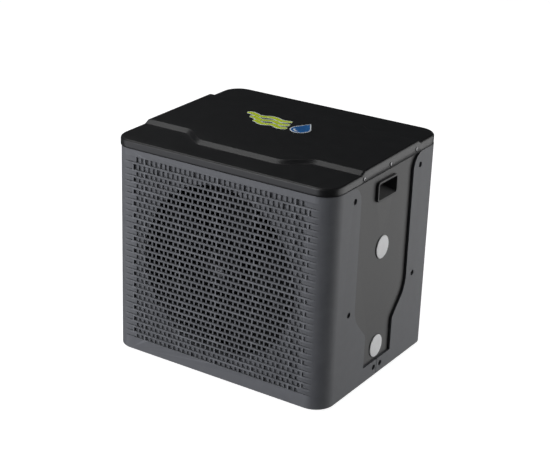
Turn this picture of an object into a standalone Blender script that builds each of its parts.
"""Compact pool heat pump: fan grille in front, saddle lid, recessed side panels, two water ports.

Metres, +Z up. The origin is on the ground under the middle of the casing. -Y is the front with
the fan grille, +Y is the rear with the air inlet, +X is the water side and -X the control side.
"""
import math

import bmesh
import bpy
from mathutils import Matrix, Vector

MM = 0.001
GAP = 0.3 * MM                     # clearance between pieces that touch

# Overall
WIDTH = 364 * MM                   # across the lid
DEPTH = 300 * MM                   # front to rear over the lid
BASE = 4 * MM                      # the casing's lower edge above the ground
LID_FRONT = 326.5 * MM             # height of the lid's plain strip at the front edge
LID_REAR = 334.6 * MM              # and at the rear edge
SEAM_FRONT = 314.4 * MM            # height of the joint between lid and casing, front edge
SEAM_REAR = 319.9 * MM

# Lid
LID_WALL = 2.5 * MM
LID_CORNER = 29 * MM
LID_EDGE = 2.4 * MM                # rounding of the top edge
BELT_RISE = 4.3 * MM               # raised saddle across the lid
BELT_STEP = 10 * MM                # width of the slope up to it
BELT_FRONT_MIDDLE = 48 * MM        # step behind the lid's front edge, in the middle
BELT_FRONT_SIDE = 76.5 * MM        # and near the sides
BELT_FRONT_BEND = (62 * MM, 111 * MM)
BELT_REAR_MIDDLE = 50 * MM         # step ahead of the rear edge
BELT_REAR_SIDE = 64 * MM
BELT_REAR_BEND = (76 * MM, 100 * MM)

# Front and rear casings
CASE_INSET = 0.8 * MM              # casing faces behind the lid's faces
CASE_WALL = 2.5 * MM
FRONT_CORNER = 29.3 * MM
REAR_CORNER = 24.8 * MM
SEAM = 0.8 * MM                    # open joint between the two casings
SEAM_Y = 0.3 * MM

# Side recess and the panels in it
RECESS = 4.2 * MM
RECESS_FLOOR = 23.5 * MM           # recess starts above the casing's lower edge
RECESS_HALF_TOP = 73.5 * MM
RECESS_HALF_FOOT = 38.5 * MM
RECESS_NECK = (75 * MM, 112 * MM)  # heights of the two bends
RECESS_BENDS = (14 * MM, 45 * MM)  # their radii
RECESS_CROWN = 25 * MM             # radius where the recess widens under the lid
PANEL_WALL = 2.5 * MM
PANEL_LAP = 7 * MM                 # panel hidden behind the casings

# Grille in the front casing
CELL_PITCH = 8.333 * MM
CELLS_PER_BRICK = 5
BRICKS_PER_SLOT = 3                # bricks between two full-depth uprights
CELL_BAR = 2.3 * MM                # bars between bricks, and between rows
ROW_PITCH = 9 * MM
TALL_PITCH = 11 * MM
TALL_ROWS = 2
ROWS = 31
ROW_HOLE = 6.3 * MM
TALL_HOLE = 8.5 * MM
GRILLE_TOP = 300.3 * MM            # centre of the top row above the ground
GRILLE_HALF = 146 * MM

# Air inlet in the rear casing
INLET_ROWS = 10
INLET_COLUMNS = 3
INLET_PITCH = 26 * MM
INLET_HOLE = 18 * MM
INLET_BAR = 6 * MM
INLET_HALF = 140 * MM

# Fasteners
SCREW_HEAD = 3.4 * MM              # radii
SCREW_SHANK = 1.7 * MM
SCREW_LENGTH = 9.5 * MM
LID_SCREW_Y = (-71 * MM, 1 * MM, 75 * MM)
LID_SCREW_DROP = 6.5 * MM          # below the lid's plain strip
CASE_SCREW_WELL = 4 * MM           # radius of the sunk wells
CASE_SCREW_DEPTH = 3 * MM
FRONT_WELLS = ((-90 * MM, 295.5 * MM), (-90 * MM, 130 * MM), (-8 * MM, 17 * MM))
REAR_WELLS = ((92.5 * MM, 298.5 * MM), (92.5 * MM, 131 * MM), (10.5 * MM, 17 * MM))

# Grip cups
GRIP_HALF = 27.5 * MM
GRIP_LOW = 274.5 * MM
GRIP_HIGH = 304 * MM
GRIP_RIM = 3 * MM
GRIP_CORNER = 5 * MM
GRIP_DEPTH = 22 * MM
GRIP_FLOOR_RISE = 8 * MM
GRIP_SHELL = 2.5 * MM

# Water ports
PORT_TUBE = 16.8 * MM              # radius
PORT_WALL = 2.3 * MM
PORT_FLANGE = 5.2 * MM             # collar beyond the tube
PORT_CLEAR = 3.7 * MM              # lower tube above the recess floor
PORT_HIGH = 201.4 * MM             # height of the upper port
PORT_PROUD = 0.3 * MM
PORT_LENGTH = 22 * MM
CAP_LAP = 0.2 * MM                 # cap beyond the tube
CAP_FACE = 1.2 * MM
CAP_SPIGOT = 8 * MM

# Base tray and feet
TRAY_WALL = 2.5 * MM
TRAY_RIM = 15 * MM
FOOT_RADIUS = 15 * MM
FOOT_STEM = 5 * MM
FOOT_HEAD = 7.5 * MM
FOOT_INSET = (42 * MM, 64 * MM)    # feet from the side and end faces
DRAIN_RADIUS = 6 * MM

# Fan
ORIFICE = 129 * MM                 # radii
COLLAR_WALL = 2.4 * MM
COLLAR_LENGTH = 32 * MM
SHROUD_WALL = 1.5 * MM
FAN_HEIGHT = 163.5 * MM
FAN_TIP_GAP = 7 * MM               # blade tips inside the orifice
FAN_SETBACK = 13 * MM              # blade front behind the casing front
FAN_CHORD = 30 * MM
FAN_BLADES = 5
HUB_RADIUS = 36 * MM
HUB_LENGTH = 34 * MM
SHAFT_RADIUS = 4 * MM
MOTOR_RADIUS = 42 * MM
MOTOR_LENGTH = 55 * MM
MOTOR_SETBACK = 8 * MM             # motor behind the hub
BRACKET_WALL = 2.5 * MM
BRACKET_STRAP = 14 * MM
BRACKET_REACH = 35 * MM            # strap centre from the shaft

# Evaporator
COIL_DEPTH = 28 * MM
COIL_SIDE = 24 * MM                # fins clear of the side panels
COIL_REAR = 12 * MM                # and of the rear casing
COIL_HEIGHT = 290 * MM
END_WALL = 1.5 * MM
BEND_RADIUS = 10 * MM
BENDS = 4
TUBE = 4 * MM
HEADER = 6 * MM
LIQUID_Z = 60 * MM                 # heights of the coil's two connections
SUCTION_Z = 245 * MM

# Compressor and accumulator
COMP_RADIUS = 50 * MM
COMP_HEIGHT = 180 * MM
COMP_SIDE = 92 * MM                # axis from the left panel
COMP_PLATE = 3 * MM
GROMMET_RADIUS = 10 * MM
GROMMET_HEIGHT = 12 * MM
GROMMET_REACH = 58 * MM
ACCU_RADIUS = 25 * MM
ACCU_HEIGHT = 115 * MM
ACCU_LIFT = 78 * MM
ACCU_SPACE = 6 * MM

# Water heat exchanger
EXCH_RADIUS = 40 * MM
EXCH_WALL = 3.5 * MM
EXCH_HEIGHT = 225 * MM
EXCH_CAP = 16 * MM
HELIX_RADIUS = 29 * MM
HELIX_TURNS = 4
RISER_Y = 12 * MM

# Control box and control panel
BOX_HEIGHT = 42 * MM
BOX_WALL = 2 * MM
SHELF_HEIGHT = 258 * MM
BOX_SIDE = 24 * MM                 # box from the left panel
BOX_END = 40 * MM                  # its right end, from the middle
BOARD = 1.6 * MM
BEZEL_HALF = (38 * MM, 30 * MM)
BEZEL_FLANGE = 2 * MM
BEZEL_PLUG = 6 * MM
BEZEL_LIP = 3.5 * MM
BEZEL_HEIGHT = 215 * MM
WINDOW_HALF = (25 * MM, 11 * MM)
WINDOW_LIFT = 10 * MM
WINDOW_WALL = 2 * MM
BUTTON_RADIUS = 4.7 * MM
BUTTON_PROUD = 1.2 * MM
BUTTON_PITCH = 15 * MM
BUTTON_DROP = 14 * MM
BUTTON_TRAVEL = 1 * MM
GLAND_HEIGHT = 48 * MM
GLAND_RADIUS = 8 * MM
GLAND_FLANGE = 12 * MM
GLAND_BORE = 4.5 * MM

# Planes that follow from the sizes above
HALF_W = WIDTH / 2
HALF_D = DEPTH / 2
CASE_X = HALF_W - CASE_INSET
CASE_Y = HALF_D - CASE_INSET
PANEL_X = CASE_X - RECESS                      # outer face of a side panel
PANEL_IN = PANEL_X - PANEL_WALL
FRONT_IN = -CASE_Y + CASE_WALL                 # inside of the front wall
REAR_IN = CASE_Y - CASE_WALL
TRAY_TOP = BASE + TRAY_WALL
FLOOR = TRAY_TOP + GAP
FAN_RADIUS = ORIFICE - FAN_TIP_GAP
FAN_FRONT = -CASE_Y + FAN_SETBACK
HUB_REAR = FAN_FRONT + HUB_LENGTH
MOTOR_FRONT = HUB_REAR + MOTOR_SETBACK
MOTOR_REAR = MOTOR_FRONT + MOTOR_LENGTH
BRACKET_Y = MOTOR_REAR + GAP
BRACKET_REAR = BRACKET_Y + BRACKET_WALL
COIL_BACK = REAR_IN - COIL_REAR
COIL_FRONT = COIL_BACK - COIL_DEPTH
COIL_HALF = PANEL_IN - COIL_SIDE
COMP_X = -PANEL_IN + COMP_SIDE
COMP_Y = (BRACKET_REAR + COIL_FRONT) / 2
COMP_BOTTOM = FLOOR + GROMMET_HEIGHT + GAP
COMP_TOP = COMP_BOTTOM + COMP_HEIGHT
ACCU_X = COMP_X + COMP_RADIUS + ACCU_SPACE + ACCU_RADIUS
ACCU_Y = COMP_Y + 8 * MM
PORT_BORE = PORT_TUBE - PORT_WALL
PORT_COLLAR = PORT_TUBE + PORT_FLANGE
CAP_RADIUS = PORT_TUBE + CAP_LAP
PORT_LOW = BASE + RECESS_FLOOR + PORT_CLEAR + PORT_TUBE
PORT_IN = PANEL_X + PORT_PROUD - PORT_LENGTH   # inner end of a port socket
EXCH_X = PORT_IN - 12 * MM - EXCH_RADIUS
EXCH_TOP = FLOOR + EXCH_HEIGHT
RISER_X = EXCH_X - 16 * MM
RISER_TOP = EXCH_TOP + EXCH_CAP + 10 * MM
HEADER_X = COIL_HALF + 10 * MM
HEADER_Y = (COIL_FRONT + COIL_BACK) / 2


def strip_height(y):
    """Top of the lid's plain strip, sloping up to the rear."""
    return LID_FRONT + (LID_REAR - LID_FRONT) * (y + HALF_D) / DEPTH


def seam_height(y):
    """Joint between the lid's skirt and the casings."""
    return SEAM_FRONT + (SEAM_REAR - SEAM_FRONT) * (y + HALF_D) / DEPTH


def ease(value, low, high):
    """Smooth step from 0 at low to 1 at high."""
    t = min(max((value - low) / (high - low), 0.0), 1.0)
    return t * t * (3 - 2 * t)


# --- materials ----------------------------------------------------------------------------------

def material(name, color, roughness, metallic=0.0):
    mat = bpy.data.materials.get(name)
    if mat is None:
        mat = bpy.data.materials.new(name)
        mat.use_nodes = True
        shader = mat.node_tree.nodes["Principled BSDF"]
        shader.inputs["Base Color"].default_value = (*color, 1.0)
        shader.inputs["Roughness"].default_value = roughness
        shader.inputs["Metallic"].default_value = metallic
    return mat


def lid_black():
    return material("lid_black", (0.012, 0.012, 0.013), 0.4)


def casing_grey():
    return material("casing_grey", (0.075, 0.08, 0.09), 0.5)


def panel_grey():
    return material("panel_grey", (0.05, 0.052, 0.057), 0.48)


def cap_grey():
    return material("cap_grey", (0.55, 0.56, 0.57), 0.5)


def rubber_black():
    return material("rubber_black", (0.015, 0.015, 0.015), 0.8)


def steel():
    return material("bright_steel", (0.7, 0.7, 0.72), 0.25, 1.0)


def plated_steel():
    return material("plated_steel", (0.45, 0.46, 0.48), 0.4, 1.0)


def copper():
    return material("copper", (0.72, 0.33, 0.18), 0.3, 1.0)


def aluminium():
    return material("fin_aluminium", (0.65, 0.68, 0.72), 0.4, 1.0)


def enamel_black():
    return material("compressor_black", (0.02, 0.02, 0.022), 0.35)


def fan_black():
    return material("fan_black", (0.01, 0.01, 0.011), 0.55)


def pvc_grey():
    return material("pvc_grey", (0.25, 0.27, 0.29), 0.45)


def titanium():
    return material("titanium", (0.5, 0.48, 0.46), 0.35, 1.0)


def board_green():
    return material("board_green", (0.02, 0.16, 0.06), 0.5)


def window_dark():
    return material("window_dark", (0.01, 0.012, 0.015), 0.1)


def button_grey():
    return material("button_grey", (0.35, 0.36, 0.38), 0.5)


# --- solids -------------------------------------------------------------------------------------

def add_object(name, bm, mat=None):
    """Object from a bmesh; without a material it is a cutter, hidden and left out of the model."""
    bmesh.ops.recalc_face_normals(bm, faces=bm.faces)
    mesh = bpy.data.meshes.new(name)
    bm.to_mesh(mesh)
    bm.free()
    obj = bpy.data.objects.new(name, mesh)
    bpy.context.scene.collection.objects.link(obj)
    if mat is None:
        obj.hide_render = True
        obj.display_type = 'WIRE'
    else:
        mesh.materials.append(mat)
    return obj


def smooth(obj, degrees=35):
    obj.data.shade_smooth()
    obj.data.set_sharp_from_angle(angle=math.radians(degrees))
    return obj


def boolean(obj, other, operation='DIFFERENCE'):
    mod = obj.modifiers.new(operation.lower(), 'BOOLEAN')
    mod.operation = operation
    mod.solver = 'EXACT'
    mod.object = other
    return obj


def fuse(obj, others):
    """Joins helper solids to the object."""
    for other in others:
        other.hide_render = True
        other.display_type = 'WIRE'
        boolean(obj, other, 'UNION')
    return obj


def rounded(corners):
    """Outline through (u, v, radius) corners, each one turned into an arc of its radius."""
    outline = []
    count = len(corners)
    for i, (u, v, radius) in enumerate(corners):
        corner = Vector((u, v))
        if radius <= 0:
            outline.append(corner)
            continue
        before = (Vector(corners[i - 1][:2]) - corner).normalized()
        after = (Vector(corners[(i + 1) % count][:2]) - corner).normalized()
        half = before.angle(after) / 2
        centre = corner + (before + after).normalized() * radius / math.sin(half)
        start = corner + before * radius / math.tan(half) - centre
        turn = start.angle_signed(corner + after * radius / math.tan(half) - centre)
        steps = max(2, math.ceil(abs(turn) / math.radians(23)))
        for step in range(steps + 1):
            rotation = Matrix.Rotation(-turn * step / steps, 2)
            outline.append(centre + rotation @ start)
    return outline


def rectangle(half_u, low_v, high_v, radius=0.0, centre_u=0.0):
    left = centre_u - half_u
    right = centre_u + half_u
    return rounded([(left, low_v, radius), (right, low_v, radius),
                    (right, high_v, radius), (left, high_v, radius)])


def place(axis, u, v, w):
    """Point from outline coordinates: (x, y) for Z, (x, z) for Y and (y, z) for X."""
    if axis == 'Z':
        return Vector((u, v, w))
    if axis == 'Y':
        return Vector((u, w, v))
    return Vector((w, u, v))


def prism(name, outline, axis, low, high, mat=None):
    """Straight extrusion of an outline along an axis."""
    bm = bmesh.new()
    ends = [[bm.verts.new(place(axis, u, v, w)) for u, v in outline] for w in (low, high)]
    bm.faces.new(ends[0])
    bm.faces.new(ends[1])
    count = len(outline)
    for i in range(count):
        j = (i + 1) % count
        bm.faces.new((ends[0][i], ends[0][j], ends[1][j], ends[1][i]))
    return add_object(name, bm, mat)


def box_into(bm, low, high):
    size = Vector(high) - Vector(low)
    middle = (Vector(high) + Vector(low)) / 2
    matrix = Matrix.Translation(middle) @ Matrix.Diagonal((*size, 1.0))
    bmesh.ops.create_cube(bm, size=1.0, matrix=matrix)


def block(name, low, high, mat=None):
    bm = bmesh.new()
    box_into(bm, low, high)
    return add_object(name, bm, mat)


def turned_into(bm, profile, axis, centre, segments):
    """Turned solid from (radius, distance along the axis) points, closed by poles or into a ring."""
    u0, v0 = centre
    loops = []
    for radius, w in profile:
        if radius == 0:
            loops.append([bm.verts.new(place(axis, u0, v0, w))])
            continue
        loop = []
        for k in range(segments):
            angle = 2 * math.pi * k / segments
            loop.append(bm.verts.new(place(axis, u0 + radius * math.cos(angle),
                                           v0 + radius * math.sin(angle), w)))
        loops.append(loop)
    pairs = list(zip(loops, loops[1:]))
    if profile[0][0] > 0:
        pairs.append((loops[-1], loops[0]))
    for one, two in pairs:
        for k in range(segments):
            j = (k + 1) % segments
            ring = [one[k % len(one)], one[j % len(one)], two[j % len(two)], two[k % len(two)]]
            bm.faces.new(list(dict.fromkeys(ring)))


def turned(name, profile, axis, centre, segments=24, mat=None):
    bm = bmesh.new()
    turned_into(bm, profile, axis, centre, segments)
    obj = add_object(name, bm, mat)
    return smooth(obj) if mat else obj


def cylinder(name, radius, axis, centre, low, high, segments=24, mat=None):
    return turned(name, [(0, low), (radius, low), (radius, high), (0, high)],
                  axis, centre, segments, mat)


def tube(name, outer, inner, axis, centre, low, high, segments=24, mat=None):
    profile = [(inner, low), (outer, low), (outer, high), (inner, high)]
    return turned(name, profile, axis, centre, segments, mat)


def smooth_route(points, steps):
    """Catmull-Rom curve through the route's points, with its first and last spans left straight."""
    route = [Vector(p) for p in points]
    curve = [route[0]]
    for i in range(1, len(route) - 2):
        a, b, c, d = route[i - 1:i + 3]
        for step in range(steps):
            t = step / steps
            curve.append(0.5 * (2 * b + (c - a) * t + (2 * a - 5 * b + 4 * c - d) * t ** 2
                                + (3 * b - a - 3 * c + d) * t ** 3))
    return curve + route[-2:]


def pipe(name, points, radius, mat):
    """Round pipe with closed ends along a list of points."""
    data = bpy.data.curves.new(name, 'CURVE')
    data.dimensions = '3D'
    data.bevel_depth = radius
    data.bevel_resolution = 1
    data.use_fill_caps = True
    spline = data.splines.new('POLY')
    spline.points.add(len(points) - 1)
    for point, co in zip(spline.points, points):
        point.co = (*co, 1.0)
    data.materials.append(mat)
    obj = bpy.data.objects.new(name, data)
    bpy.context.scene.collection.objects.link(obj)
    return obj


def shift_to(obj, origin):
    """Moves the object's origin without moving its shape."""
    obj.data.transform(Matrix.Translation(-Vector(origin)))
    obj.location = origin
    return obj


# --- casing -------------------------------------------------------------------------------------

def recess_edge(sign):
    """Edge of the side recess in (y, z), from its floor up to the lid; sign -1 is the front half."""
    floor = BASE + RECESS_FLOOR
    crown = seam_height(sign * RECESS_HALF_TOP)
    return [(sign * RECESS_HALF_FOOT, floor, 1.5 * MM),
            (sign * RECESS_HALF_FOOT, BASE + RECESS_NECK[0], RECESS_BENDS[0]),
            (sign * RECESS_HALF_TOP, BASE + RECESS_NECK[1], RECESS_BENDS[1]),
            (sign * RECESS_HALF_TOP, crown, RECESS_CROWN)]


def casing_shell(name, sign, corner, wells, mat):
    """Half casing wrapped round one end; sign -1 is the front one."""
    reach = HALF_D + 20 * MM
    tall = LID_REAR + 20 * MM
    plan = rectangle(CASE_X, -CASE_Y, CASE_Y, corner)
    shell = prism(name, plan, 'Z', BASE, tall, mat)
    inside = rectangle(PANEL_X + GAP, FRONT_IN, REAR_IN, corner - CASE_WALL)
    boolean(shell, prism("cut_inside_" + name, inside, 'Z', BASE - CASE_WALL, tall + CASE_WALL))
    joint = SEAM_Y + sign * SEAM / 2
    side = [(joint, BASE - CASE_WALL, 0), (joint, BASE + RECESS_FLOOR, 1 * MM)]
    side += recess_edge(sign)
    side += [(sign * reach, seam_height(sign * reach), 0), (sign * reach, BASE - CASE_WALL, 0)]
    keep = prism("keep_" + name, rounded(side), 'X', -WIDTH, WIDTH)
    boolean(shell, keep, 'INTERSECT')
    for index, (y, z) in enumerate(wells):
        for hand in (-1, 1):
            deep = sorted((hand * (CASE_X - CASE_SCREW_DEPTH), hand * (CASE_X + CASE_WALL)))
            well = cylinder(f"cut_well_{name}_{index}_{hand}", CASE_SCREW_WELL, 'X', (y, z),
                            *deep, 10)
            boolean(shell, well)
    return shell


def grille_rows():
    """(row number, centre height, hole height) for each row, from the top down."""
    z = GRILLE_TOP
    for row in range(ROWS):
        tall = row < TALL_ROWS
        yield row, z, TALL_HOLE if tall else ROW_HOLE
        z -= TALL_PITCH if row < TALL_ROWS - 1 else (TALL_PITCH + ROW_PITCH) / 2 if tall else ROW_PITCH


def front_casing():
    shell = casing_shell("front_casing", -1, FRONT_CORNER, FRONT_WELLS, casing_grey())
    brick = CELL_PITCH * CELLS_PER_BRICK * BRICKS_PER_SLOT
    bm = bmesh.new()
    for row, z, hole in grille_rows():
        shift = brick / 2 if row % 2 else 0.0
        for column in range(-2, 2):
            left = max(shift + column * brick + CELL_BAR / 2, -GRILLE_HALF)
            right = min(shift + (column + 1) * brick - CELL_BAR / 2, GRILLE_HALF)
            if right - left > CELL_PITCH:
                box_into(bm, (left, -CASE_Y - CASE_WALL, z - hole / 2),
                         (right, FRONT_IN + CASE_WALL, z + hole / 2))
    return boolean(shell, add_object("cut_grille", bm))


def rear_casing():
    shell = casing_shell("rear_casing", 1, REAR_CORNER, REAR_WELLS, casing_grey())
    pitch = 2 * INLET_HALF / INLET_COLUMNS
    bm = bmesh.new()
    for row in range(INLET_ROWS):
        z = FAN_HEIGHT + (row - (INLET_ROWS - 1) / 2) * INLET_PITCH
        for column in range(INLET_COLUMNS):
            left = -INLET_HALF + column * pitch
            box_into(bm, (left + INLET_BAR / 2, REAR_IN - CASE_WALL, z - INLET_HOLE / 2),
                     (left + pitch - INLET_BAR / 2, CASE_Y + CASE_WALL, z + INLET_HOLE / 2))
    return boolean(shell, add_object("cut_inlet", bm))


def belt_lines(x):
    """Middle of the front and rear steps of the raised belt at one x."""
    front = ease(abs(x), *BELT_FRONT_BEND)
    rear = ease(abs(x), *BELT_REAR_BEND)
    return (-HALF_D + BELT_FRONT_MIDDLE + (BELT_FRONT_SIDE - BELT_FRONT_MIDDLE) * front,
            HALF_D - BELT_REAR_MIDDLE - (BELT_REAR_SIDE - BELT_REAR_MIDDLE) * rear)


def lid():
    """Cover with a raised belt from side to side and a skirt, as one moulded wall."""
    flat = HALF_W - LID_CORNER
    bend = [BELT_FRONT_BEND[0] + k * (BELT_FRONT_BEND[1] - BELT_FRONT_BEND[0]) / 3 for k in range(4)]
    turn = [flat + LID_CORNER * math.sin(math.radians(a)) for a in (0, 22.5, 45, 67.5, 90)]
    right = bend + [(bend[-1] + flat) / 2] + turn
    stations = [-x for x in reversed(right)] + [0.0] + right
    bm = bmesh.new()
    columns = []
    for x in stations:
        over = max(abs(x) - flat, 0.0)
        end = HALF_D - LID_CORNER + math.sqrt(max(LID_CORNER ** 2 - over ** 2, 0.0))
        front, rear = belt_lines(x)
        half = BELT_STEP / 2
        rows = [(-end, 0), (front - half, 0), (front + half, 1), (0.0, 1),
                (rear - half, 1), (rear + half, 0), (end, 0)]
        columns.append([bm.verts.new((x, y, strip_height(y) + up * BELT_RISE)) for y, up in rows])
    for one, two in zip(columns, columns[1:]):
        for k in range(len(one) - 1):
            bm.faces.new((one[k], one[k + 1], two[k + 1], two[k]))
    rim = [edge for edge in bm.edges if edge.is_boundary]
    skirt = bmesh.ops.extrude_edge_only(bm, edges=rim)["geom"]
    for vert in (item for item in skirt if isinstance(item, bmesh.types.BMVert)):
        vert.co.z = seam_height(vert.co.y) + GAP
    obj = add_object("lid", bm, lid_black())
    wall = obj.modifiers.new("wall", 'SOLIDIFY')
    wall.thickness = LID_WALL
    wall.offset = -1.0
    wall.use_even_offset = True
    for index, y in enumerate(LID_SCREW_Y):
        z = strip_height(y) - LID_SCREW_DROP
        hole = cylinder(f"cut_lid_screw_{index}", SCREW_SHANK + GAP, 'X', (y, z),
                        -WIDTH, WIDTH, 12)
        boolean(obj, hole)
    return smooth(obj, 30)


def lid_screws():
    """Three screws through each side of the skirt into the side panel."""
    for side, hand in (("left", -1), ("right", 1)):
        for index, y in enumerate(LID_SCREW_Y):
            seat = HALF_W + GAP
            profile = [(0, seat + 1.3 * MM), (SCREW_HEAD * 0.6, seat + 1.2 * MM),
                       (SCREW_HEAD, seat + 0.5 * MM), (SCREW_HEAD, seat),
                       (SCREW_SHANK, seat), (SCREW_SHANK, seat - SCREW_LENGTH), (0, seat - SCREW_LENGTH)]
            profile = [(radius, hand * x) for radius, x in profile]
            z = strip_height(y) - LID_SCREW_DROP
            turned(f"lid_screw_{side}_{index + 1}", profile, 'X', (y, z), 14, steel())


def side_panel(side, hand, mat):
    """Flat panel behind the recess, up under the lid, with its openings cut by the caller."""
    half = RECESS_HALF_TOP + PANEL_LAP
    low = BASE + RECESS_FLOOR - PANEL_LAP
    under = LID_WALL + 2 * GAP
    outline = rounded([(-half, low, 3 * MM), (half, low, 3 * MM),
                       (half, strip_height(half) - under, 3 * MM),
                       (-half, strip_height(-half) - under, 3 * MM)])
    name = f"{side}_panel"
    faces = sorted((hand * PANEL_IN, hand * PANEL_X))
    panel = prism(name, outline, 'X', *faces, mat)
    through = sorted((hand * (PANEL_IN - PANEL_WALL), hand * (PANEL_X + PANEL_WALL)))
    grip = rectangle(GRIP_HALF + GAP, GRIP_LOW - GAP, GRIP_HIGH + GAP, GRIP_CORNER + GAP)
    boolean(panel, prism(f"cut_grip_{side}", grip, 'X', *through))
    for index, y in enumerate(LID_SCREW_Y):
        z = strip_height(y) - LID_SCREW_DROP
        boolean(panel, cylinder(f"cut_panel_screw_{side}_{index}", SCREW_SHANK + GAP, 'X', (y, z),
                                *through, 12))
    return panel, through


def right_panel():
    panel, through = side_panel("right", 1, panel_grey())
    for index, z in enumerate((PORT_LOW, PORT_HIGH)):
        boolean(panel, cylinder(f"cut_port_{index}", PORT_TUBE + 2 * GAP, 'X', (0, z), *through, 24))


def left_panel():
    panel, through = side_panel("left", -1, panel_grey())
    plug = rectangle(BEZEL_HALF[0] - BEZEL_LIP + GAP, BEZEL_HEIGHT - BEZEL_HALF[1] + BEZEL_LIP - GAP,
                     BEZEL_HEIGHT + BEZEL_HALF[1] - BEZEL_LIP + GAP, 2 * MM)
    boolean(panel, prism("cut_bezel", plug, 'X', *through))
    boolean(panel, cylinder("cut_gland", GLAND_RADIUS + GAP, 'X', (0, GLAND_HEIGHT), *through, 20))


def grip_cup(side, hand):
    """Finger cup: a rim proud of the panel round a pocket whose floor rises inwards."""
    face = hand * CASE_X
    back = hand * (CASE_X - GRIP_DEPTH - GRIP_SHELL)
    outline = rectangle(GRIP_HALF, GRIP_LOW, GRIP_HIGH, GRIP_CORNER)
    cup = prism(f"{side}_grip_cup", outline, 'X', *sorted((back, face)), panel_grey())
    lap = rectangle(GRIP_HALF + GRIP_RIM, GRIP_LOW - GRIP_RIM, GRIP_HIGH + GRIP_RIM, GRIP_CORNER)
    flange = sorted((hand * (PANEL_IN - GAP), hand * (PANEL_IN - GAP - GRIP_SHELL)))
    fuse(cup, [prism(f"join_grip_{side}", lap, 'X', *flange)])
    bm = bmesh.new()
    rings = []
    for x, rise in ((face + hand * GRIP_RIM, 0.0), (back + hand * GRIP_SHELL, GRIP_FLOOR_RISE)):
        hole = rectangle(GRIP_HALF - GRIP_RIM, GRIP_LOW + GRIP_RIM + rise, GRIP_HIGH - GRIP_RIM, 2 * MM)
        rings.append([bm.verts.new((x, y, z)) for y, z in hole])
    bm.faces.new(rings[0])
    bm.faces.new(rings[1])
    bmesh.ops.bridge_loops(bm, edges=list(bm.edges))
    boolean(cup, add_object(f"cut_pocket_{side}", bm))
    return cup


def water_port(kind, z):
    """Threadless socket through the right panel with its blanking cap."""
    face = PANEL_X + PORT_PROUD
    profile = [(PORT_BORE, PORT_IN), (PORT_TUBE, PORT_IN),
               (PORT_TUBE, PANEL_IN - GAP - 3 * MM), (PORT_COLLAR, PANEL_IN - GAP - 3 * MM),
               (PORT_COLLAR, PANEL_IN - GAP), (PORT_TUBE, PANEL_IN - GAP),
               (PORT_TUBE, face), (PORT_BORE, face)]
    turned(f"{kind}_socket", profile, 'X', (0, z), 24, panel_grey())
    seat = face + GAP
    spigot = PORT_BORE - GAP
    profile = [(0, seat + CAP_FACE), (CAP_RADIUS - 0.5 * MM, seat + CAP_FACE),
               (CAP_RADIUS, seat + CAP_FACE - 0.5 * MM), (CAP_RADIUS, seat),
               (spigot, seat), (spigot, seat - CAP_SPIGOT), (0, seat - CAP_SPIGOT)]
    cap = turned(f"{kind}_cap", profile, 'X', (0, z), 24, cap_grey())
    shift_to(cap, (seat, 0, z))


def base_tray():
    """Pressed tray with an upright rim; the feet press into it."""
    half_x = PANEL_IN - 2 * GAP
    half_y = -FRONT_IN - 2 * GAP
    radius = FRONT_CORNER - CASE_WALL
    tray = prism("base_tray", rectangle(half_x, -half_y, half_y, radius), 'Z', BASE,
                 TRAY_TOP + TRAY_RIM, plated_steel())
    wall = TRAY_WALL
    inside = rectangle(half_x - wall, wall - half_y, half_y - wall, radius - wall)
    boolean(tray, prism("cut_tray", inside, 'Z', TRAY_TOP, TRAY_TOP + 2 * TRAY_RIM))
    for index, (x, y) in enumerate(foot_places()):
        boolean(tray, cylinder(f"cut_foot_{index}", FOOT_STEM + GAP, 'Z', (x, y),
                               BASE - wall, TRAY_TOP + wall, 16))
    drain = cylinder("cut_drain", DRAIN_RADIUS, 'Z', (0, COIL_FRONT - 3 * DRAIN_RADIUS),
                     BASE - wall, TRAY_TOP + wall, 16)
    return boolean(tray, drain)


def foot_places():
    x = HALF_W - FOOT_INSET[0]
    y = HALF_D - FOOT_INSET[1]
    return [(-x, -y), (x, -y), (-x, y), (x, y)]


def feet():
    names = ("foot_front_left", "foot_front_right", "foot_rear_left", "foot_rear_right")
    head = TRAY_TOP + GAP
    for name, (x, y) in zip(names, foot_places()):
        profile = [(0, 0), (FOOT_RADIUS - 1 * MM, 0), (FOOT_RADIUS, 1 * MM), (FOOT_RADIUS, BASE - GAP),
                   (FOOT_STEM, BASE - GAP), (FOOT_STEM, head), (FOOT_HEAD, head),
                   (FOOT_STEM, head + 3 * MM), (0, head + 3 * MM)]
        turned(name, profile, 'Z', (x, y), 14, rubber_black())


# --- fan ----------------------------------------------------------------------------------------

def fan_shroud():
    """Plate behind the grille with the round air opening and a short collar round the blades."""
    front = FRONT_IN + GAP
    half = PANEL_X - (FRONT_CORNER - CASE_WALL) - GAP
    low = TRAY_TOP + TRAY_RIM + GAP
    high = SEAM_FRONT - 3 * MM
    plate = prism("fan_shroud", rectangle(half, low, high, 4 * MM), 'Y', front, front + SHROUD_WALL,
                  casing_grey())
    centre = (0, FAN_HEIGHT)
    middle = ORIFICE - COLLAR_WALL / 2
    boolean(plate, cylinder("cut_orifice", middle, 'Y', centre, front - CASE_WALL,
                            front + CASE_WALL * 2, 36))
    lip = front + SHROUD_WALL / 4
    profile = [(ORIFICE - COLLAR_WALL, lip), (ORIFICE, lip), (ORIFICE, lip + COLLAR_LENGTH),
               (ORIFICE - COLLAR_WALL, lip + COLLAR_LENGTH)]
    return fuse(plate, [turned("join_collar", profile, 'Y', centre, 36)])


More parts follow.
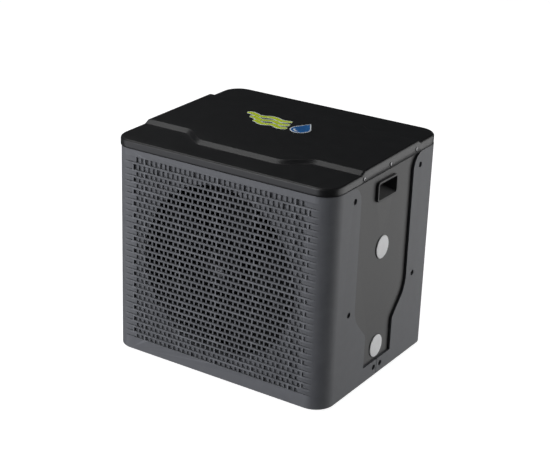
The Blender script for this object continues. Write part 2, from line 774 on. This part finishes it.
def fan_blade(index):
    """One twisted blade, from inside the hub out to the tip."""
    bm = bmesh.new()
    root = HUB_RADIUS - 4 * MM
    radii = [root, (root + FAN_RADIUS) / 2, FAN_RADIUS]
    chords = 3
    start = 2 * math.pi * index / FAN_BLADES
    sides = ([], [])
    for radius in radii:
        out = (radius - radii[0]) / (radii[-1] - radii[0])
        width = math.radians(46 + 12 * out)
        height = FAN_CHORD * (0.95 - 0.25 * out)
        thick = (2.4 - 1.0 * out) * MM
        for side, shift in zip(sides, (-thick, thick)):
            row = []
            for k in range(chords + 1):
                s = k / chords - 0.5
                angle = start + s * width + 0.35 * out
                y = FAN_FRONT + FAN_CHORD / 2 + s * height + shift
                row.append(bm.verts.new((radius * math.cos(angle), y,
                                         FAN_HEIGHT + radius * math.sin(angle))))
            side.append(row)
    for side in sides:
        for one, two in zip(side, side[1:]):
            for k in range(chords):
                bm.faces.new((one[k], one[k + 1], two[k + 1], two[k]))
    border = [[side[k] for side in sides] for k in (0, -1)]
    border += [[[row[k] for row in side] for side in sides] for k in (0, -1)]
    for one, two in border:
        for k in range(len(one) - 1):
            bm.faces.new((one[k], one[k + 1], two[k + 1], two[k]))
    return add_object(f"join_blade_{index}", bm)


def fan():
    """Rotor, nut and shaft, with their origins on the shaft's axis."""
    centre = (0, FAN_HEIGHT)
    bore = SHAFT_RADIUS + GAP
    front = FAN_FRONT + 2 * MM
    profile = [(bore, front), (HUB_RADIUS - 5 * MM, front), (HUB_RADIUS, front + 5 * MM),
               (HUB_RADIUS, HUB_REAR), (HUB_RADIUS - 3 * MM, HUB_REAR),
               (HUB_RADIUS - 3 * MM, front + 9 * MM), (11 * MM, front + 9 * MM),
               (11 * MM, HUB_REAR), (bore, HUB_REAR)]
    rotor = turned("fan_rotor", profile, 'Y', centre, 20, fan_black())
    fuse(rotor, [fan_blade(index) for index in range(FAN_BLADES)])
    tip = front - 7 * MM
    nut_bore = bore / math.cos(math.pi / 6)
    tube("fan_nut", 8 * MM, nut_bore, 'Y', centre, front - GAP - 5 * MM, front - GAP, 6, plated_steel())
    cylinder("fan_shaft", SHAFT_RADIUS, 'Y', centre, tip, MOTOR_FRONT + 15 * MM, 16, steel())
    for name in ("fan_rotor", "fan_nut", "fan_shaft"):
        shift_to(bpy.data.objects[name], (0, FAN_FRONT, FAN_HEIGHT))
    for index in range(FAN_BLADES):
        shift_to(bpy.data.objects[f"join_blade_{index}"], (0, FAN_FRONT, FAN_HEIGHT))


def fan_motor():
    bore = SHAFT_RADIUS + 2 * GAP
    front = MOTOR_FRONT
    profile = [(0, front - 3 * MM), (12 * MM, front - 3 * MM), (12 * MM, front),
               (MOTOR_RADIUS - 4 * MM, front), (MOTOR_RADIUS, front + 4 * MM),
               (MOTOR_RADIUS, MOTOR_REAR - 4 * MM), (MOTOR_RADIUS - 4 * MM, MOTOR_REAR),
               (0, MOTOR_REAR)]
    body = turned("fan_motor", profile, 'Y', (0, FAN_HEIGHT), 20, plated_steel())
    return boolean(body, cylinder("cut_motor_bore", bore, 'Y', (0, FAN_HEIGHT), front - 6 * MM,
                                  front + 18 * MM, 16))


def motor_bracket():
    """Two straps from the tray that carry the motor, bent over at the top into the box shelf."""
    strap = BRACKET_STRAP / 2
    left = -PANEL_IN + BOX_SIDE - 4 * MM
    right = BOX_END + 4 * MM
    shelf = block("motor_bracket", (left, BRACKET_Y, SHELF_HEIGHT - BRACKET_WALL),
                  (right, COIL_FRONT - 8 * MM, SHELF_HEIGHT), plated_steel())
    joins = []
    for index, x in enumerate((-BRACKET_REACH, BRACKET_REACH)):
        joins.append(block(f"join_strap_{index}", (x - strap, BRACKET_Y, FLOOR),
                           (x + strap, BRACKET_REAR, SHELF_HEIGHT - BRACKET_WALL / 2)))
        joins.append(block(f"join_toe_{index}", (x - strap, BRACKET_Y + BRACKET_WALL / 2, FLOOR),
                           (x + strap, BRACKET_REAR + 14 * MM, FLOOR + BRACKET_WALL)))
    joins.append(cylinder("join_seat", MOTOR_RADIUS, 'Y', (0, FAN_HEIGHT), BRACKET_Y, BRACKET_REAR, 20))
    return fuse(shelf, joins)


# --- refrigerant circuit ------------------------------------------------------------------------

def evaporator():
    low = FLOOR
    high = FLOOR + COIL_HEIGHT
    block("evaporator_fins", (-COIL_HALF, COIL_FRONT, low), (COIL_HALF, COIL_BACK, high), aluminium())
    plate = COIL_HALF + GAP
    for side, hand in (("left", -1), ("right", 1)):
        x = sorted((hand * plate, hand * (plate + END_WALL)))
        end = block(f"evaporator_end_{side}", (x[0], COIL_FRONT, low), (x[1], COIL_BACK, high), copper())
        if side == "right":
            fuse(end, header_parts(plate))
        else:
            fuse(end, return_bends(-plate - END_WALL / 2, low, high))


def return_bends(x, low, high):
    """Half-round tube bends on the coil's left end."""
    pitch = (high - low) / BENDS
    bends = []
    for index in range(BENDS):
        z = low + pitch * (index + 0.5)
        route = [(x, HEADER_Y, z + BEND_RADIUS)]
        for step in range(6):
            angle = math.pi * step / 5
            route.append((x - TUBE - BEND_RADIUS * math.sin(angle), HEADER_Y,
                          z + BEND_RADIUS * math.cos(angle)))
        route.append((x, HEADER_Y, z - BEND_RADIUS))
        bend = pipe(f"join_bend_{index}", route, TUBE, copper())
        bends.append(curve_to_mesh(bend))
    return bends


def curve_to_mesh(obj):
    """Replaces a pipe by its mesh, so that it can be fused to a plate."""
    name = obj.name
    mesh = bpy.data.meshes.new_from_object(obj.evaluated_get(bpy.context.evaluated_depsgraph_get()))
    bpy.data.objects.remove(obj)
    solid = bpy.data.objects.new(name, mesh)
    bpy.context.scene.collection.objects.link(solid)
    return solid


def header_parts(plate):
    """Upright header on the coil's right end with branches into the plate and two stubs."""
    joins = [cylinder("join_header", HEADER, 'Z', (HEADER_X, HEADER_Y), LIQUID_Z - 12 * MM,
                      SUCTION_Z + 12 * MM, 12)]
    for index, z in enumerate((LIQUID_Z + 25 * MM, SUCTION_Z - 25 * MM)):
        joins.append(cylinder(f"join_branch_{index}", TUBE, 'X', (HEADER_Y, z), plate + END_WALL / 2,
                              HEADER_X, 8))
    for index, z in enumerate((LIQUID_Z, SUCTION_Z)):
        joins.append(cylinder(f"join_stub_{index}", TUBE, 'Y', (HEADER_X, z), COIL_FRONT - 2 * MM,
                              HEADER_Y, 8))
    return joins


def compressor():
    centre = (COMP_X, COMP_Y)
    low = COMP_BOTTOM
    top = COMP_TOP
    corners = []
    for x, y in grommet_places():
        out = (Vector((x, y)) - Vector(centre)) * (GROMMET_REACH + 20 * MM) / GROMMET_REACH
        corners.append((COMP_X + out.x * 1.15, COMP_Y + out.y * 1.15, 14 * MM))
    plate = prism("compressor", rounded(corners), 'Z', low, low + COMP_PLATE, enamel_black())
    for index, place_xy in enumerate(grommet_places()):
        boolean(plate, cylinder(f"cut_grommet_{index}", 4 * MM + GAP, 'Z', place_xy,
                                low - COMP_PLATE, low + 2 * COMP_PLATE, 12))
    profile = [(0, low + COMP_PLATE / 2), (36 * MM, low + COMP_PLATE / 2),
               (46 * MM, low + 12 * MM), (46 * MM, low + 24 * MM), (COMP_RADIUS, low + 30 * MM),
               (COMP_RADIUS, top - 30 * MM), (46 * MM, top - 12 * MM), (34 * MM, top), (0, top)]
    fuse(plate, [turned("join_shell", profile, 'Z', centre, 20)])
    cover = (COMP_X - 12 * MM, COMP_Y)
    profile = [(0, top + GAP), (18 * MM, top + GAP), (18 * MM, top + 16 * MM),
               (15 * MM, top + 19 * MM), (0, top + 19 * MM)]
    turned("compressor_terminal_cover", profile, 'Z', cover, 20, rubber_black())


def grommet_places():
    for k in range(3):
        angle = math.radians(60 + 120 * k)
        yield (COMP_X + GROMMET_REACH * math.cos(angle), COMP_Y + GROMMET_REACH * math.sin(angle))


def grommets():
    neck = COMP_BOTTOM + COMP_PLATE + 2 * MM
    for index, centre in enumerate(grommet_places()):
        low = FLOOR
        shoulder = low + GROMMET_HEIGHT
        profile = [(0, low), (GROMMET_RADIUS, low), (GROMMET_RADIUS - 2 * MM, shoulder),
                   (4 * MM, shoulder), (4 * MM, neck), (0, neck)]
        turned(f"compressor_grommet_{index + 1}", profile, 'Z', centre, 14, rubber_black())


def accumulator():
    low = TRAY_TOP + ACCU_LIFT
    high = low + ACCU_HEIGHT
    r = ACCU_RADIUS
    profile = [(0, low), (8 * MM, low), (r, low + 12 * MM), (r, high - 12 * MM), (8 * MM, high), (0, high)]
    turned("accumulator", profile, 'Z', (ACCU_X, ACCU_Y), 20, enamel_black())
    side = COMP_X + COMP_RADIUS + GAP
    inlet = COMP_BOTTOM + 38 * MM
    route = [(ACCU_X, ACCU_Y, low - GAP), (ACCU_X, ACCU_Y, low - 12 * MM),
             (ACCU_X - 10 * MM, ACCU_Y - 4 * MM, inlet + 2 * MM),
             (side + 7 * MM, COMP_Y, inlet), (side, COMP_Y, inlet)]
    pipe("accumulator_outlet_pipe", smooth_route(route, 3), TUBE, copper())


def heat_exchanger():
    """Water shell with the titanium coil inside, and its screwed cap."""
    centre = (EXCH_X, 0)
    shell = cylinder("heat_exchanger_shell", EXCH_RADIUS, 'Z', centre, FLOOR, EXCH_TOP, 24, pvc_grey())
    outer = PORT_IN - GAP
    stubs = [cylinder(f"join_stub_water_{index}", PORT_TUBE, 'X', (0, z), EXCH_X + EXCH_RADIUS / 2,
                      outer, 18) for index, z in enumerate((PORT_LOW, PORT_HIGH))]
    fuse(shell, stubs)
    boolean(shell, cylinder("cut_exchanger", EXCH_RADIUS - EXCH_WALL, 'Z', centre,
                            FLOOR + 2 * EXCH_WALL, EXCH_TOP + EXCH_WALL, 24))
    for index, z in enumerate((PORT_LOW, PORT_HIGH)):
        boolean(shell, cylinder(f"cut_stub_{index}", PORT_BORE, 'X', (0, z), EXCH_X,
                                outer + EXCH_WALL, 18))
    low = EXCH_TOP + GAP
    high = low + EXCH_CAP
    r = EXCH_RADIUS + 4 * MM
    profile = [(0, low), (r, low), (r, high - 3 * MM), (r - 3 * MM, high), (0, high)]
    cap = turned("heat_exchanger_cap", profile, 'Z', centre, 24, pvc_grey())
    for index, y in enumerate((-RISER_Y, RISER_Y)):
        boolean(cap, cylinder(f"cut_riser_{index}", TUBE + GAP, 'Z', (RISER_X, y), low - EXCH_CAP,
                              high + EXCH_CAP, 12))
    profile = [(0, -EXCH_RADIUS - GAP), (7 * MM, -EXCH_RADIUS - GAP), (11 * MM, -EXCH_RADIUS - 8 * MM),
               (11 * MM, -EXCH_RADIUS - 24 * MM), (0, -EXCH_RADIUS - 24 * MM)]
    turned("flow_switch", profile, 'Y', (EXCH_X, 120 * MM), 16, board_green())


def titanium_coil():
    """Down one riser and back up the other, wound as a helix inside the water shell."""
    low = FLOOR + 24 * MM
    high = EXCH_TOP - 40 * MM
    steps = 10
    turns = HELIX_TURNS * steps
    route = [(RISER_X, -RISER_Y, RISER_TOP), (RISER_X, -RISER_Y, EXCH_TOP - 10 * MM)]
    start = math.radians(215)
    for k in range(turns + 1):
        angle = start + 2 * math.pi * k / steps
        z = high + (low - high) * k / turns
        route.append((EXCH_X + HELIX_RADIUS * math.cos(angle), HELIX_RADIUS * math.sin(angle), z))
    inner = RISER_X + 8 * MM
    route += [(inner, 0, low - 2 * MM), (inner, 0, low + 8 * MM), (inner, 0, EXCH_TOP - 24 * MM),
              (RISER_X, RISER_Y, EXCH_TOP - 8 * MM), (RISER_X, RISER_Y, RISER_TOP)]
    pipe("titanium_coil", route, TUBE - 0.5 * MM, titanium())


def refrigerant_pipes():
    top = RISER_TOP + GAP
    outlet = COMP_X + 20 * MM
    under = SHELF_HEIGHT - 13 * MM
    route = [(outlet, COMP_Y, COMP_TOP + GAP), (outlet, COMP_Y, COMP_TOP + 22 * MM),
             (outlet + 22 * MM, COMP_Y - 8 * MM, under), (0, -6 * MM, under),
             (BOX_END, -18 * MM, under), (RISER_X - 16 * MM, -17 * MM, top + 6 * MM),
             (RISER_X, -RISER_Y, top + 14 * MM), (RISER_X, -RISER_Y, top)]
    pipe("discharge_pipe", smooth_route(route, 3), TUBE, copper())
    drier = (BOX_END + 10 * MM, COMP_Y + 34 * MM)
    low = 70 * MM
    high = low + 60 * MM
    route = [(RISER_X, RISER_Y, top), (RISER_X, RISER_Y, top + 14 * MM),
             (RISER_X - 14 * MM, RISER_Y + 26 * MM, top + 8 * MM),
             (drier[0], drier[1] - 4 * MM, top - 40 * MM), (drier[0], drier[1], high + 40 * MM),
             (*drier, high + GAP)]
    pipe("liquid_pipe", smooth_route(route, 3), TUBE, copper())
    profile = [(0, low), (4 * MM, low), (11 * MM, low + 12 * MM), (11 * MM, high - 12 * MM),
               (4 * MM, high), (0, high)]
    turned("filter_drier", profile, 'Z', drier, 16, copper())
    stub = COIL_FRONT - 2 * MM - GAP
    route = [(*drier, low - GAP), (*drier, low - 12 * MM),
             (drier[0] + 24 * MM, drier[1] + 6 * MM, low - 28 * MM),
             (HEADER_X - 24 * MM, stub - 14 * MM, LIQUID_Z - 4 * MM),
             (HEADER_X, stub - 9 * MM, LIQUID_Z), (HEADER_X, stub, LIQUID_Z)]
    pipe("capillary_pipe", smooth_route(route, 3), 2 * MM, copper())
    route = [(HEADER_X, stub, SUCTION_Z), (HEADER_X, stub - 8 * MM, SUCTION_Z),
             (HEADER_X - 22 * MM, stub - 17 * MM, SUCTION_Z - 1 * MM),
             (drier[0] + 10 * MM, stub - 17 * MM, SUCTION_Z - 4 * MM),
             (ACCU_X + 16 * MM, ACCU_Y + 24 * MM, SUCTION_Z - 8 * MM),
             (ACCU_X + 2 * MM, ACCU_Y + 5 * MM, SUCTION_Z - 16 * MM),
             (ACCU_X, ACCU_Y, SUCTION_Z - 30 * MM),
             (ACCU_X, ACCU_Y, TRAY_TOP + ACCU_LIFT + ACCU_HEIGHT + GAP)]
    pipe("suction_pipe", smooth_route(route, 3), TUBE + 1 * MM, copper())


# --- electrical parts ---------------------------------------------------------------------------

def electrical_box():
    left = -PANEL_IN + BOX_SIDE
    right = BOX_END
    front = BRACKET_REAR + 6 * MM
    rear = COIL_FRONT - 12 * MM
    low = SHELF_HEIGHT + GAP
    high = low + BOX_HEIGHT
    wall = BOX_WALL
    box = block("electrical_box", (left, front, low), (right, rear, high), plated_steel())
    boolean(box, block("cut_box", (left + wall, front + wall, low + wall),
                       (right - wall, rear - wall, high + wall)))
    post = low + 8 * MM
    board = (left + 50 * MM, right - 8 * MM, front + 8 * MM, rear - 8 * MM)
    corners = [(x, y) for x in (board[0] + 7 * MM, board[1] - 7 * MM)
               for y in (board[2] + 7 * MM, board[3] - 7 * MM)]
    fuse(box, [cylinder(f"join_post_{k}", 3.5 * MM, 'Z', corner, low + wall / 2, post, 10)
               for k, corner in enumerate(corners)])
    block("electrical_cover", (left, front, high + GAP), (right, rear, high + GAP + 1.5 * MM),
          plated_steel())
    deck = post + GAP
    pcb = block("control_board", (board[0], board[2], deck), (board[1], board[3], deck + BOARD),
                board_green())
    parts = [((board[0] + 8 * MM, board[2] + 18 * MM), (34 * MM, 40 * MM, 16 * MM)),
             ((board[0] + 60 * MM, board[2] + 12 * MM), (26 * MM, 18 * MM, 14 * MM)),
             ((board[0] + 60 * MM, board[2] + 50 * MM), (40 * MM, 14 * MM, 12 * MM))]
    joins = []
    for index, ((x, y), size) in enumerate(parts):
        base = deck + BOARD / 2
        joins.append(block(f"join_chip_{index}", (x, y, base),
                           (x + size[0], y + size[1], base + size[2])))
    fuse(pcb, joins)
    base = low + wall + GAP
    profile = [(0, base), (17 * MM, base), (17 * MM, base + 34 * MM), (0, base + 34 * MM)]
    turned("capacitor", profile, 'Z', (left + 24 * MM, front + 26 * MM), 20, plated_steel())


def control_panel():
    """Display and four sprung buttons in the left panel, at hand height."""
    z = BEZEL_HEIGHT
    outer = -PANEL_X - GAP - BEZEL_FLANGE
    inner = outer + BEZEL_FLANGE + BEZEL_PLUG
    half_y, half_z = BEZEL_HALF
    bezel = prism("display_bezel", rectangle(half_y, z - half_z, z + half_z, 5 * MM), 'X', outer,
                  outer + BEZEL_FLANGE, panel_grey())
    plug = rectangle(half_y - BEZEL_LIP, z - half_z + BEZEL_LIP, z + half_z - BEZEL_LIP, 2 * MM)
    fuse(bezel, [prism("join_plug", plug, 'X', outer + BEZEL_FLANGE / 2, inner)])
    window_z = z + WINDOW_LIFT
    window = rectangle(WINDOW_HALF[0], window_z - WINDOW_HALF[1], window_z + WINDOW_HALF[1], 1 * MM)
    boolean(bezel, prism("cut_window", window, 'X', outer - BEZEL_FLANGE, inner + BEZEL_FLANGE))
    pane = rectangle(WINDOW_HALF[0] - GAP, window_z - WINDOW_HALF[1] + GAP,
                     window_z + WINDOW_HALF[1] - GAP, 1 * MM)
    prism("display_window", pane, 'X', outer + GAP, outer + GAP + WINDOW_WALL, window_dark())
    names = ("button_power", "button_mode", "button_down", "button_up")
    for index, name in enumerate(names):
        y = (index - 1.5) * BUTTON_PITCH
        centre = (y, z - BUTTON_DROP)
        boolean(bezel, cylinder(f"cut_{name}", BUTTON_RADIUS + GAP, 'X', centre,
                                outer - BEZEL_FLANGE, inner + BEZEL_FLANGE, 12))
        tip = outer - BUTTON_PROUD
        back = inner + GAP
        profile = [(0, tip), (BUTTON_RADIUS - 0.6 * MM, tip), (BUTTON_RADIUS, tip + 0.6 * MM),
                   (BUTTON_RADIUS, back), (BUTTON_RADIUS + 1 * MM, back),
                   (BUTTON_RADIUS + 1 * MM, back + 1 * MM), (0, back + 1 * MM)]
        button = turned(name, profile, 'X', centre, 12, button_grey())
        shift_to(button, (tip, *centre))
    deck = inner + GAP + 1 * MM + BUTTON_TRAVEL + 2 * GAP
    block("display_board", (deck, -half_y + BEZEL_LIP, z - half_z + BEZEL_LIP),
          (deck + BOARD, half_y - BEZEL_LIP, z + half_z - BEZEL_LIP), board_green())


def cable_gland():
    """Empty gland for the supply cable, low in the left panel."""
    out = -PANEL_X - GAP
    profile = [(GLAND_BORE, out - 6 * MM), (GLAND_FLANGE - 3 * MM, out - 6 * MM),
               (GLAND_FLANGE, out - 3 * MM), (GLAND_FLANGE, out), (GLAND_RADIUS, out),
               (GLAND_RADIUS, out + PANEL_WALL + 8 * MM), (GLAND_BORE, out + PANEL_WALL + 8 * MM)]
    turned("cable_gland", profile, 'X', (0, GLAND_HEIGHT), 18, rubber_black())


def build():
    for obj in list(bpy.data.objects):
        bpy.data.objects.remove(obj)
    base_tray()
    feet()
    front_casing()
    rear_casing()
    lid()
    lid_screws()
    right_panel()
    left_panel()
    for side, hand in (("left", -1), ("right", 1)):
        grip_cup(side, hand)
    water_port("inlet", PORT_LOW)
    water_port("outlet", PORT_HIGH)
    fan_shroud()
    fan()
    fan_motor()
    motor_bracket()
    evaporator()
    compressor()
    grommets()
    accumulator()
    heat_exchanger()
    titanium_coil()
    refrigerant_pipes()
    electrical_box()
    control_panel()
    cable_gland()


build()
